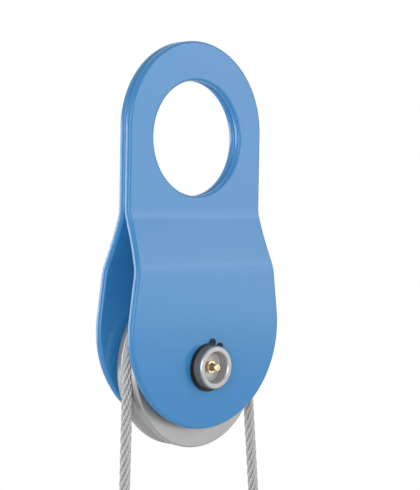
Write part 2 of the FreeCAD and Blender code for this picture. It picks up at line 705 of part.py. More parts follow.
def end_place(side, lean, down, inwards):
    """Formulas for a place on a rope end: how far down its leg from the ferrule's top, and inwards."""
    leg_x = (
        f"({ROPE_PITCH} / cos({lean}) + (ferrule_drop - axle_drop) * tan({lean})"
        f" + {down} * sin({lean}) - {inwards} * cos({lean}))"
    )
    leg_z = f"(-ferrule_drop - {down} * cos({lean}) - {inwards} * sin({lean}))"
    return f"{side}{leg_x}", leg_z


def make_ferrule(label, side, lean, angle):
    """A ferrule pressed over two runs of the rope, with rounded ends."""
    body = new_body(label)
    circle = new_sketch(body, f"{label}_circle", "XY_Plane")
    draw_circle(circle, "0", "0", "ferrule_radius")
    sleeve = pad(body, f"{label}_sleeve", circle, "ferrule_length")
    half = "(ferrule_length / 2)"
    ends = [point("ferrule_radius", "0", half), point("ferrule_radius", "0", f"-{half}")]
    round_edges(body, f"{label}_ends", sleeve, edges_through(sleeve, *ends), "ferrule_round")
    runs = new_sketch(body, f"{label}_run_circles", "XY_Plane")
    draw_circle(runs, "-rope_spacing / 2", "0", "rope_radius")
    draw_circle(runs, "rope_spacing / 2", "0", "rope_radius")
    pocket_through(body, f"{label}_runs", runs)
    x, z = end_place(side, lean, half, "rope_spacing / 2")
    place(body, x=x, z=z, angle=angle)


def make_thimble(label, side, lean, angle):
    """A thimble: a round-bottomed channel bent to a drop, one half piped and the other mirrored."""
    body = new_body(label)
    channel = "(rope_radius + thimble_seat)"
    outside = f"({channel} + thimble_wall)"
    section = new_sketch(body, f"{label}_section", "YZ_Plane")
    level = "-thimble_radius"
    draw_chain(
        section,
        [(outside, level), (f"-{outside}", level), (f"-{channel}", level), (channel, level)],
        {0: ("0", level, "left"), 2: ("0", level, "right")},
    )
    path = new_sketch(body, f"{label}_path", "XZ_Plane")
    end_of_arc = ("(thimble_radius * cos(thimble_taper))", "(thimble_radius * sin(thimble_taper))")
    leg_end = (
        f"({end_of_arc[0]} - thimble_leg * sin(thimble_taper))",
        f"({end_of_arc[1]} + thimble_leg * cos(thimble_taper))",
    )
    draw_chain(
        path,
        [("0", level), end_of_arc, leg_end],
        {0: ("0", "0", "left")},
        closed=False,
    )
    half = body.newObject("PartDesign::AdditivePipe", f"{label}_half")
    half.Profile = section
    half.Spine = path
    document.recompute()
    mirror = body.newObject("PartDesign::Mirrored", f"{label}_both_halves")
    mirror.Originals = [half]
    plane = [feature for feature in body.Origin.OriginFeatures if feature.Role == "YZ_Plane"]
    mirror.MirrorPlane = (plane[0], [""])
    body.Tip = mirror
    x, z = end_place(side, lean, "thimble_drop", "rope_spacing / 2")
    place(body, x=x, z=z, angle=angle)


# Check and export

def check():
    """Stop if a feature failed or a sub-part has no sound solid."""
    for thing in document.Objects:
        if {"Invalid", "Error"} & set(thing.State):
            raise RuntimeError(f"{thing.Label} did not compute: {thing.State}")
    for subpart in subparts:
        shape = subpart.Shape
        if shape.isNull() or not shape.isValid() or not shape.Solids:
            raise RuntimeError(f"{subpart.Label} has no sound solid")


def export():
    """Write one STEP file for each sub-part."""
    os.makedirs(PARTS_FOLDER, exist_ok=True)
    for subpart in subparts:
        subpart.Shape.exportStep(f"{PARTS_FOLDER}/{subpart.Label}.step")
        box = subpart.Shape.optimalBoundingBox()
        low = f"{box.XMin:.2f} {box.YMin:.2f} {box.ZMin:.2f}"
        high = f"{box.XMax:.2f} {box.YMax:.2f} {box.ZMax:.2f}"
        print(f"{subpart.Label}: {subpart.Shape.Volume:.1f} mm3, from {low} to {high}")


fill_sheet()
make_cheek("rear_cheek", "0")
make_cheek("front_cheek", "180")
make_axle()
make_circlip("front_circlip", "-", "front_clip_turn")
make_circlip("rear_circlip", "", "rear_clip_turn")
make_sheave()
make_bush()
washer_hole = "axle_radius + washer_fit"
for washer, side in (("front_washer", "-"), ("rear_washer", "")):
    make_ring(washer, washer_hole, "washer_radius", "washer_thickness", f"{side}{WASHER_MIDDLE}")
make_nipple()
make_ball()
make_spring()
make_rope()
make_ferrule("left_ferrule", "-", "left_lean", "left_lean")
make_ferrule("right_ferrule", "", "right_lean", "-right_lean")
make_thimble("left_thimble", "-", "left_lean", "left_lean")
make_thimble("right_thimble", "", "right_lean", "-right_lean")
document.recompute()
check()
export()
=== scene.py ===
"""Looks of a snatch block with its wire rope: camera, studio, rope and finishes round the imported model."""

import logging
import math
from bisect import bisect_right
from dataclasses import dataclass
from enum import Enum, IntEnum

import bmesh
import bpy
from mathutils import Matrix, Vector


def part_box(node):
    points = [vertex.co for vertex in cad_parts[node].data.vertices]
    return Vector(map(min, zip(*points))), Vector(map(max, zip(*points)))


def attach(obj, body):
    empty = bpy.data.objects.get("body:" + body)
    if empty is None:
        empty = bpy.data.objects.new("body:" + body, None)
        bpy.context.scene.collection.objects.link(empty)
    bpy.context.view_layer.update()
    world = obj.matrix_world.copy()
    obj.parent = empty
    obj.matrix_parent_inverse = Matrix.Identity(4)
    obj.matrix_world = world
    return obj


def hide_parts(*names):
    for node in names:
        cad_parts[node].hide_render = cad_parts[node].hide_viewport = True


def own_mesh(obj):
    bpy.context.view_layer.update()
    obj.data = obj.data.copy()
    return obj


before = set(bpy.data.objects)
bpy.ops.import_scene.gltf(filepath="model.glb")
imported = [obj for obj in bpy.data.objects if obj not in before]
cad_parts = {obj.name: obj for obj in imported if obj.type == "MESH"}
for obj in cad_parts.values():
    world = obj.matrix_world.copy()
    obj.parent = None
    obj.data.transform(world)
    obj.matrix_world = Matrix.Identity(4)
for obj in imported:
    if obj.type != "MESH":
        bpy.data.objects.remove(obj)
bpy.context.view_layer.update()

MM = 0.001  # one millimetre, in the metres of the scene
WHITE = "#ffffff"
log = logging.getLogger("snatch_block")


class Body(Enum):
    """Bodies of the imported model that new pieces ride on."""

    REAR_SIDE = "rear_side"


class Slot(Enum):
    """Names of material slots in the record, one for each kind of new piece."""

    ROPE_WIRE = "rope_wire"
    FERRULE_ALUMINIUM = "ferrule_aluminium"
    VALVE_STEEL = "valve_steel"


class MixSocket(IntEnum):
    """Numbers of the colour sockets on a mix node, where several sockets share a name."""

    FACTOR = 0
    FIRST = 6
    SECOND = 7
    RESULT = 2


# Shader helpers


def linear(colour: str) -> tuple[float, float, float, float]:
    """Turn an sRGB hex colour to linear light.

    Args:
        colour: A hash sign and six hex digits.

    Returns:
        Red, green, blue and an alpha of 1, as a shader's socket takes them.
    """
    shares = [int(colour[start:start + 2], 16) / 255 for start in (1, 3, 5)]
    parts = [share / 12.92 if share <= 0.04045 else ((share + 0.055) / 1.055) ** 2.4 for share in shares]
    return (*parts, 1.0)


def add_node(
    tree: bpy.types.NodeTree, kind: str, inputs: dict[str | int, object] | None = None, **settings: object
) -> bpy.types.Node:
    """Add a node with its settings, its values and the links that come in.

    Args:
        tree: The node tree that takes the node.
        kind: The node's type name.
        inputs: By each input's name or number, its value or the socket of another node that feeds it.
        settings: Properties of the node itself.

    Returns:
        The new node.
    """
    node = tree.nodes.new(kind)
    for name, value in settings.items():
        setattr(node, name, value)
    for name, value in (inputs or {}).items():
        if isinstance(value, bpy.types.NodeSocket):
            tree.links.new(value, node.inputs[name])
        else:
            node.inputs[name].default_value = value
    return node


class Draft:
    """A material being made, with the object's own coordinates at hand."""

    def __init__(self, name: str) -> None:
        """Start an empty material.

        Args:
            name: The material's name.
        """
        self.material = bpy.data.materials.new(name)
        self.material.use_nodes = True
        self.tree = self.material.node_tree
        self.tree.nodes.clear()
        self.place = add_node(self.tree, "ShaderNodeTexCoord").outputs["Object"]

    def complete(
        self,
        tones: dict[MixSocket, object],
        sheen: bpy.types.NodeSocket,
        gloss: tuple[float, float],
        inputs: dict[str, object],
        height: bpy.types.NodeSocket | None = None,
        depth: float = 0.0,
    ) -> bpy.types.Material:
        """Add colour, roughness, relief, the Principled shader and the output.

        Args:
            tones: The two colours and the pattern that leads from the first to the second.
            sheen: The pattern that the roughness follows.
            gloss: Roughness where that pattern is 0 and where it is 1.
            inputs: The shader's other inputs by name, each a value or a socket.
            height: The pattern that stands out as relief; without one the surface is even.
            depth: How far it stands out, in metres.

        Returns:
            The material.
        """
        colour = add_node(self.tree, "ShaderNodeMix", tones, data_type="RGBA").outputs[MixSocket.RESULT]
        ends = {"Value": sheen, "To Min": gloss[0], "To Max": gloss[1]}
        roughness = add_node(self.tree, "ShaderNodeMapRange", ends).outputs["Result"]
        inputs = {"Base Color": colour, "Roughness": roughness, **inputs}
        if height is not None:
            relief = add_node(self.tree, "ShaderNodeBump", {"Height": height, "Distance": depth})
            inputs["Normal"] = relief.outputs["Normal"]
        shader = add_node(self.tree, "ShaderNodeBsdfPrincipled", inputs)
        add_node(self.tree, "ShaderNodeOutputMaterial", {"Surface": shader.outputs["BSDF"]})
        return self.material


class TurnedDraft(Draft):
    """A material for pieces turned about the axle's centre line, with the rings that the tool leaves."""

    RING_DETAIL = 3.0

    def __init__(self, name: str, axle_height: float, pitch: float) -> None:
        """Start the material and work out where each point lies round the centre line.

        Args:
            name: The material's name.
            axle_height: Height of the centre line, in metres.
            pitch: Distance between two tool marks, in metres.
        """
        super().__init__(name)
        lower = {0: self.place, 1: (0.0, 0.0, -axle_height)}
        centred = add_node(self.tree, "ShaderNodeVectorMath", lower, operation="ADD").outputs[0]
        self.along = add_node(self.tree, "ShaderNodeSeparateXYZ", {0: centred}).outputs["Y"]
        flatten = {0: centred, 1: (1.0, 0.0, 1.0)}
        flat = add_node(self.tree, "ShaderNodeVectorMath", flatten, operation="MULTIPLY").outputs[0]
        length = add_node(self.tree, "ShaderNodeVectorMath", {0: flat}, operation="LENGTH")
        self.radius = length.outputs["Value"]
        path = add_node(self.tree, "ShaderNodeMath", {0: self.radius, 1: self.along}, operation="ADD")
        marks = {"W": path.outputs[0], "Scale": 1 / pitch, "Detail": self.RING_DETAIL}
        self.rings = add_node(self.tree, "ShaderNodeTexNoise", marks, noise_dimensions="1D").outputs["Fac"]


# Finishes


@dataclass(frozen=True)
class EnamelPaint:
    """Synthetic enamel sprayed on steel plate: glossy and even, with the faint orange peel of a spray."""

    colour: str = "#3884be"
    shade: str = "#3681bc"
    cloud: float = 60 * MM
    patch: float = 18 * MM
    peel: float = 2.5 * MM
    peel_depth: float = 0.004 * MM
    gloss: tuple[float, float] = (0.21, 0.23)
    refraction: float = 1.46

    def make(self) -> bpy.types.Material:
        """Build the paint.

        Returns:
            The material.
        """
        draft = Draft("sprayed_blue_enamel")
        sizes = (self.cloud, self.patch, self.peel)
        noises = ({"Vector": draft.place, "Scale": 1 / size} for size in sizes)
        clouds, patches, peel = (
            add_node(draft.tree, "ShaderNodeTexNoise", noise).outputs["Fac"] for noise in noises
        )
        tones = {
            MixSocket.FACTOR: clouds,
            MixSocket.FIRST: linear(self.colour),
            MixSocket.SECOND: linear(self.shade),
        }
        return draft.complete(tones, patches, self.gloss, {"IOR": self.refraction}, peel, self.peel_depth)


@dataclass(frozen=True)
class TurnedMetal:
    """Metal straight from the lathe: a satin surface with the rings that the tool leaves."""

    name: str
    axle_height: float
    bright: str
    dull: str
    gloss: tuple[float, float] = (0.34, 0.46)
    metallic: float = 1.0
    pitch: float = 1.1 * MM  # real marks are about 0.2 mm apart and wouldn't show
    depth: float = 0.008 * MM
    cloud: float = 12 * MM
    detail: float = 4.0

    def make(self) -> bpy.types.Material:
        """Build the metal.

        Returns:
            The material.
        """
        draft = TurnedDraft(self.name, self.axle_height, self.pitch)
        noise = {"Vector": draft.place, "Scale": 1 / self.cloud, "Detail": self.detail}
        tones = {
            MixSocket.FACTOR: add_node(draft.tree, "ShaderNodeTexNoise", noise).outputs["Fac"],
            MixSocket.FIRST: linear(self.bright),
            MixSocket.SECOND: linear(self.dull),
        }
        return draft.complete(
            tones, draft.rings, self.gloss, {"Metallic": self.metallic}, draft.rings, self.depth
        )


@dataclass(frozen=True)
class AxleSteel:
    """Blackened round bar: dark outside, pale on both turned ends, grey in the greased end's recess, with
    painted light on the recess floor.
    """

    axle_height: float
    end_face: float
    bore: float = 12.5 * MM
    chamfer: float = 1.0 * MM
    blend: float = 0.3 * MM
    black: str = "#757475"
    bright: str = "#a1a2a2"
    recess_wall: str = "#a3a2a4"
    # painted light: the recess floor is painted paler than its wall, as if lit
    recess_floor_painted_light: str = "#cdcbc9"
    grime: float = 5 * MM
    grime_share: float = 0.2
    detail: float = 4.0
    pitch: float = 0.9 * MM  # real marks are about 0.15 mm apart and wouldn't show
    depth: float = 0.006 * MM
    gloss: tuple[float, float] = (0.30, 0.42)
    oxide_metal: float = 0.2  # how metallic the blackened surface looks

    def make(self) -> bpy.types.Material:
        """Build the steel.

        Returns:
            The material.
        """
        draft = TurnedDraft("blackened_axle_steel", self.axle_height, self.pitch)
        distance = add_node(draft.tree, "ShaderNodeMath", {0: draft.along}, operation="ABSOLUTE").outputs[0]
        stretch = {
            "Value": distance,
            "From Min": self.end_face - self.chamfer,
            "From Max": self.end_face - self.blend,
        }
        end_zone = add_node(draft.tree, "ShaderNodeMapRange", stretch).outputs["Result"]
        metal = add_node(draft.tree, "ShaderNodeMapRange", {"Value": end_zone, "To Min": self.oxide_metal})
        zones = (
            (end_zone, self.bright),
            (self.inside(draft, self.bore + self.blend), self.recess_wall),
            # painted light on the recess floor, inside the bore's wall
            (self.inside(draft, self.bore - self.blend), self.recess_floor_painted_light),
        )
        tone = linear(self.black)
        for zone, colour in zones:
            mix = {MixSocket.FACTOR: zone, MixSocket.FIRST: tone, MixSocket.SECOND: linear(colour)}
            tone = add_node(draft.tree, "ShaderNodeMix", mix, data_type="RGBA").outputs[MixSocket.RESULT]
        noise = {"Vector": draft.place, "Scale": 1 / self.grime, "Detail": self.detail}
        clouds = add_node(draft.tree, "ShaderNodeTexNoise", noise).outputs["Fac"]
        soiled = add_node(draft.tree, "ShaderNodeMapRange", {"Value": clouds, "To Max": self.grime_share})
        tones = {
            MixSocket.FACTOR: soiled.outputs["Result"],
            MixSocket.FIRST: tone,
            MixSocket.SECOND: linear(self.black),
        }
        inputs = {"Metallic": metal.outputs["Result"]}
        return draft.complete(tones, draft.rings, self.gloss, inputs, draft.rings, self.depth)

    def inside(self, draft: TurnedDraft, radius: float) -> bpy.types.NodeSocket:
        """Mark what lies in the greased half, at -Y, and nearer to the centre line than a radius.

        Args:
            draft: The material being made.
            radius: The radius, in metres.

        Returns:
            A socket that is 1 there and 0 elsewhere.
        """
        near, greased = (
            add_node(draft.tree, "ShaderNodeMath", {0: value, 1: limit}, operation="LESS_THAN").outputs[0]
            for value, limit in ((draft.radius, radius), (draft.along, 0.0))
        )
        return add_node(draft.tree, "ShaderNodeMath", {0: near, 1: greased}, operation="MULTIPLY").outputs[0]


@dataclass(frozen=True)
class BlackenedSpringSteel:
    """Phosphated and oiled spring steel of a circlip: nearly black, with a dull sheen and a grey grain."""

    black: str = "#1d1c1b"
    worn: str = "#3b3937"
    grain: float = 1.2 * MM
    detail: float = 5.0
    depth: float = 0.01 * MM
    gloss: tuple[float, float] = (0.40, 0.55)
    metallic: float = 0.7

    def make(self) -> bpy.types.Material:
        """Build the steel.

        Returns:
            The material.
        """
        draft = Draft("phosphated_circlip_steel")
        noise = {"Vector": draft.place, "Scale": 1 / self.grain, "Detail": self.detail}
        grain = add_node(draft.tree, "ShaderNodeTexNoise", noise).outputs["Fac"]
        tones = {
            MixSocket.FACTOR: grain,
            MixSocket.FIRST: linear(self.black),
            MixSocket.SECOND: linear(self.worn),
        }
        return draft.complete(tones, grain, self.gloss, {"Metallic": self.metallic}, grain, self.depth)


@dataclass(frozen=True)
class GalvanisedWire:
    """Drawn wire with a zinc coat: pale crests, and painted shade that darkens the grooves deep in the rope.
    """

    crest: str = "#b6b6b6"
    drawn: str = "#aaaaaa"
    # painted shade for the grooves deep in the rope
    groove_shade: str = "#a4a4a4"
    streak: float = 3 * MM
    detail: float = 4.0
    gloss: tuple[float, float] = (0.42, 0.55)
    groove: tuple[float, float] = (0.08, 0.34)  # shares of the rope's radius over which the painted shade deepens
    metallic: float = 0.3  # weathered zinc shines less than bare metal

    def make(self) -> bpy.types.Material:
        """Build the wire's metal.

        Returns:
            The material.
        """
        draft = Draft("galvanised_rope_wire")
        noise = {"Vector": draft.place, "Scale": 1 / self.streak, "Detail": self.detail}
        streaks = add_node(draft.tree, "ShaderNodeTexNoise", noise).outputs["Fac"]
        mix = {
            MixSocket.FACTOR: streaks,
            MixSocket.FIRST: linear(self.crest),
            MixSocket.SECOND: linear(self.drawn),
        }
        metal = add_node(draft.tree, "ShaderNodeMix", mix, data_type="RGBA").outputs[MixSocket.RESULT]
        # painted shade: the colour darkens with depth in the rope, towards the grooves between strands and
        # wires
        depth = add_node(draft.tree, "ShaderNodeAttribute", attribute_name=WireRope.DEPTH_LAYER)
        deep = {"Value": depth.outputs["Fac"], "From Min": self.groove[0], "From Max": self.groove[1]}
        tones = {
            MixSocket.FACTOR: add_node(draft.tree, "ShaderNodeMapRange", deep).outputs["Result"],
            MixSocket.FIRST: metal,
            MixSocket.SECOND: linear(self.groove_shade),
        }
        return draft.complete(tones, streaks, self.gloss, {"Metallic": self.metallic})


@dataclass(frozen=True)
class PressedAluminium:
    """Aluminium pressed in a die: pale and satin, with faint streaks along the sleeve."""

    pale: str = "#c3c4c5"
    dull: str = "#aaabad"
    streak: float = 1.2 * MM
    stretch: float = 12.0  # how many times longer than wide a streak is
    detail: float = 3.0
    depth: float = 0.01 * MM
    gloss: tuple[float, float] = (0.32, 0.46)

    def make(self) -> bpy.types.Material:
        """Build the aluminium.

        Returns:
            The material.
        """
        draft = Draft("pressed_ferrule_aluminium")
        stretched = {"Vector": draft.place, "Scale": (1.0, 1.0, 1 / self.stretch)}
        drawn_out = add_node(draft.tree, "ShaderNodeMapping", stretched).outputs["Vector"]
        noise = {"Vector": drawn_out, "Scale": 1 / self.streak, "Detail": self.detail}
        streaks = add_node(draft.tree, "ShaderNodeTexNoise", noise).outputs["Fac"]
        tones = {
            MixSocket.FACTOR: streaks,
            MixSocket.FIRST: linear(self.pale),
            MixSocket.SECOND: linear(self.dull),
        }
        return draft.complete(tones, streaks, self.gloss, {"Metallic": 1.0}, streaks, self.depth)


@dataclass(frozen=True)
class GalvanisedSheet:
    """Hot-dip zinc on bent sheet: pale grey with the patches of its crystals."""

    light: str = "#c0c3c6"
    dark: str = "#a2a6a9"
    crystal: float = 6 * MM
    ripple: float = 2 * MM
    depth: float = 0.02 * MM
    gloss: tuple[float, float] = (0.34, 0.50)

    def make(self) -> bpy.types.Material:
        """Build the zinc.

        Returns:
            The material.
        """
        draft = Draft("galvanised_thimble_sheet")
        cells = {"Vector": draft.place, "Scale": 1 / self.crystal}
        crystals = add_node(draft.tree, "ShaderNodeTexVoronoi", cells).outputs["Color"]
        patch = add_node(draft.tree, "ShaderNodeSeparateColor", {0: crystals}).outputs[0]
        noise = {"Vector": draft.place, "Scale": 1 / self.ripple}
        ripples = add_node(draft.tree, "ShaderNodeTexNoise", noise).outputs["Fac"]
        tones = {
            MixSocket.FACTOR: patch,
            MixSocket.FIRST: linear(self.light),
            MixSocket.SECOND: linear(self.dark),
        }
        return draft.complete(tones, patch, self.gloss, {"Metallic": 1.0}, ripples, self.depth)


# Mesh helpers


def settle_order(work: bmesh.types.BMesh) -> None:
    """Sort the parts of a mesh by place, since a spin leaves them in another order in each run.

    Args:
        work: The mesh.
    """
    orders = (
        (work.verts, lambda corner: tuple(corner.co)),
        (work.edges, lambda edge: sorted(corner.index for corner in edge.verts)),
        (work.faces, lambda face: sorted(corner.index for corner in face.verts)),
    )
    for parts, place in orders:
        ranks = {part: rank for rank, part in enumerate(sorted(parts, key=place))}
        parts.sort(key=ranks.get)
        parts.index_update()


def finish_mesh(work: bmesh.types.BMesh, name: str, material: bpy.types.Material) -> bpy.types.Object:
    """Turn a bmesh into an object at the origin, shaded smooth.

    Args:
        work: The mesh in the frame's coordinates; it is freed.
        name: The object's name.
        material: Its material.

    Returns:
        The new object.
    """
    mesh = bpy.data.meshes.new(name)
    for face in work.faces:
        face.smooth = True
    settle_order(work)
    work.to_mesh(mesh)
    work.free()
    mesh.materials.append(material)
    piece = bpy.data.objects.new(name, mesh)
    bpy.context.scene.collection.objects.link(piece)
    return piece


def close_ends(work: bmesh.types.BMesh) -> None:
    """Close every open ring of a swept mesh and turn its faces outwards.

    Args:
        work: The mesh.
    """
    rims = [edge for edge in work.edges if edge.is_boundary]
    bmesh.ops.holes_fill(work, edges=rims, sides=0)
    bmesh.ops.recalc_face_normals(work, faces=work.faces[:])


def dress(node: str, material: bpy.types.Material) -> bpy.types.Object:
    """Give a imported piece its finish.

    Args:
        node: The piece's name.
        material: Its finish.

    Returns:
        The piece.
    """
    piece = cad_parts[node]
    piece.data.materials.clear()
    piece.data.materials.append(material)
    log.info("%s: %s", node, material.name)
    return piece


# Studio


@dataclass(frozen=True)
class PhotoCamera:
    """The camera's place, worked out from the block's outlines in the photograph."""

    turn: float = 43.43  # degrees to the left of the axle's greased end
    tilt: float = 2.08  # degrees that it looks down
    roll: float = 0.96
    target: tuple[float, float, float] = (21.6 * MM, 0.0, -87.5 * MM)
    distance: float = 1154.2 * MM
    focal_pixels: float = 1386.9
    image_height: float = 490.0
    sensor: float = 36.0

    def build(self) -> None:
        """Add the camera and make it the scene's own."""
        turn, tilt, roll = (math.radians(angle) for angle in (self.turn, self.tilt, self.roll))
        back = Vector((-math.sin(turn) * math.cos(tilt), -math.cos(turn) * math.cos(tilt), math.sin(tilt)))
        level = Vector((math.cos(turn), -math.sin(turn), 0.0))
        upright = back.cross(level)
        right = level * math.cos(roll) + upright * math.sin(roll)
        up = upright * math.cos(roll) - level * math.sin(roll)
        place = Vector(self.target) + back * self.distance
        data = bpy.data.cameras.new("photo_camera")
        data.sensor_width = self.sensor
        data.lens = self.focal_pixels * self.sensor / self.image_height
        camera = bpy.data.objects.new("photo_camera", data)
        bpy.context.scene.collection.objects.link(camera)
        axes = Matrix((right, up, back)).transposed().to_4x4()
        camera.matrix_world = Matrix.Translation(place) @ axes
        bpy.context.scene.camera = camera
        log.info("camera: %.0f mm from the block", self.distance / MM)


@dataclass(frozen=True)
class SoftBox:
    """A lit rectangle that faces the block and isn't seen itself."""

    name: str
    azimuth: float  # degrees to the right of the axle's greased end
    elevation: float
    distance: float
    width: float
    height: float
    power: float

    def build(self, middle: Vector) -> None:
        """Add the lamp to the scene.

        Args:
            middle: The point that it stands round and faces.
        """
        turn, rise = math.radians(self.azimuth), math.radians(self.elevation)
        way = Vector((math.sin(turn) * math.cos(rise), -math.cos(turn) * math.cos(rise), math.sin(rise)))
        light = bpy.data.lights.new(self.name, "AREA")
        light.shape = "RECTANGLE"
        light.size = self.width
        light.size_y = self.height
        light.energy = self.power
        lamp = bpy.data.objects.new(self.name, light)
        bpy.context.scene.collection.objects.link(lamp)
        facing = way.to_track_quat("Z", "Y").to_matrix().to_4x4()
        lamp.matrix_world = Matrix.Translation(middle + way * self.distance) @ facing
        lamp.visible_camera = False


@dataclass(frozen=True)
class Studio:
    """Pale floor, white surroundings and soft boxes."""

    middle: tuple[float, float, float] = (0.0, 0.0, -0.1)
    floor_height: float = -428 * MM
    floor_radius: float = 8.0
    floor_colour: str = "#f4f4f4"
    floor_points: int = 96
    shadow_reach: tuple[float, float] = (0.2, 0.6)  # distances over which the floor fades to plain white
    shadow_glow: float = 0.5  # how far the floor is lightened to white near the block
    sky_level: float = 0.35
    boxes: tuple[SoftBox, ...] = (  # name, azimuth, elevation, distance, width, height and power
        SoftBox("front_right_box", 40.0, 12.5, 1.5, 0.8, 1.1, 6.8),
        SoftBox("front_right_core", 43.0, 20.0, 1.45, 0.5, 0.25, 0.4),
        SoftBox("front_left_box", -49.0, 8.0, 1.8, 0.7, 1.3, 17.5),
        SoftBox("rear_left_box", -152.0, -1.5, 1.2, 0.75, 0.6, 7.5),
    )

    def build(self) -> None:
        """Add surroundings, floor and lamps."""
        self.build_world()
        self.build_floor()
        for box in self.boxes:
            box.build(Vector(self.middle))
        bpy.context.scene.view_settings.view_transform = "Standard"
        log.info("studio: floor, surroundings and %d soft boxes", len(self.boxes))

    def find_seen_rays(self, tree: bpy.types.NodeTree) -> bpy.types.NodeSocket:
        """Mark the rays that show the background: straight from the camera, by reflection or through glass.

        Args:
            tree: The node tree that uses the mark.

        Returns:
            A socket that is 1 for those rays and 0 for light that falls on a surface.
        """
        rays = add_node(tree, "ShaderNodeLightPath").outputs
        seen = rays["Is Camera Ray"]
        for kind in ("Is Glossy Ray", "Is Transmission Ray"):
            seen = add_node(tree, "ShaderNodeMath", {0: seen, 1: rays[kind]}, operation="MAXIMUM").outputs[0]
        return seen

    def build_world(self) -> None:
        """Surroundings that look white, and that light the block at a plain level."""
        world = bpy.data.worlds.new("studio")
        world.use_nodes = True
        tree = world.node_tree
        tree.nodes.clear()
        level = {"Value": self.find_seen_rays(tree), "To Min": self.sky_level}
        strength = add_node(tree, "ShaderNodeMapRange", level).outputs["Result"]
        sky = add_node(tree, "ShaderNodeBackground", {"Color": linear(WHITE), "Strength": strength})
        add_node(tree, "ShaderNodeOutputWorld", {"Surface": sky.outputs[0]})
        bpy.context.scene.world = world

    def build_floor(self) -> None:
        """A plain white floor that keeps a soft shadow near the block."""
        material = bpy.data.materials.new("white_floor")
        material.use_nodes = True
        tree = material.node_tree
        tree.nodes.clear()
        place = add_node(tree, "ShaderNodeTexCoord").outputs["Object"]
        away = add_node(
            tree, "ShaderNodeVectorMath", {0: place, 1: (1.0, 1.0, 0.0)}, operation="MULTIPLY"
        ).outputs[0]
        distance = add_node(tree, "ShaderNodeVectorMath", {0: away}, operation="LENGTH").outputs["Value"]
        near, far = self.shadow_reach
        fade = {"Value": distance, "From Min": near, "From Max": far, "To Min": self.shadow_glow}
        glow = add_node(tree, "ShaderNodeMapRange", fade).outputs["Result"]
        seen = self.find_seen_rays(tree)
        share = add_node(tree, "ShaderNodeMath", {0: glow, 1: seen}, operation="MULTIPLY").outputs[0]
        paint = add_node(tree, "ShaderNodeBsdfDiffuse", {"Color": linear(self.floor_colour)}).outputs[0]
        white = add_node(tree, "ShaderNodeEmission", {"Color": linear(WHITE), "Strength": 1.0}).outputs[0]
        both = add_node(tree, "ShaderNodeMixShader", {0: share, 1: paint, 2: white}).outputs[0]
        add_node(tree, "ShaderNodeOutputMaterial", {"Surface": both})
        work = bmesh.new()
        bmesh.ops.create_circle(work, cap_ends=True, segments=self.floor_points, radius=self.floor_radius)
        bmesh.ops.translate(work, verts=work.verts[:], vec=(0.0, 0.0, self.floor_height))
        finish_mesh(work, "studio_floor", material)


# Wire rope and its ends


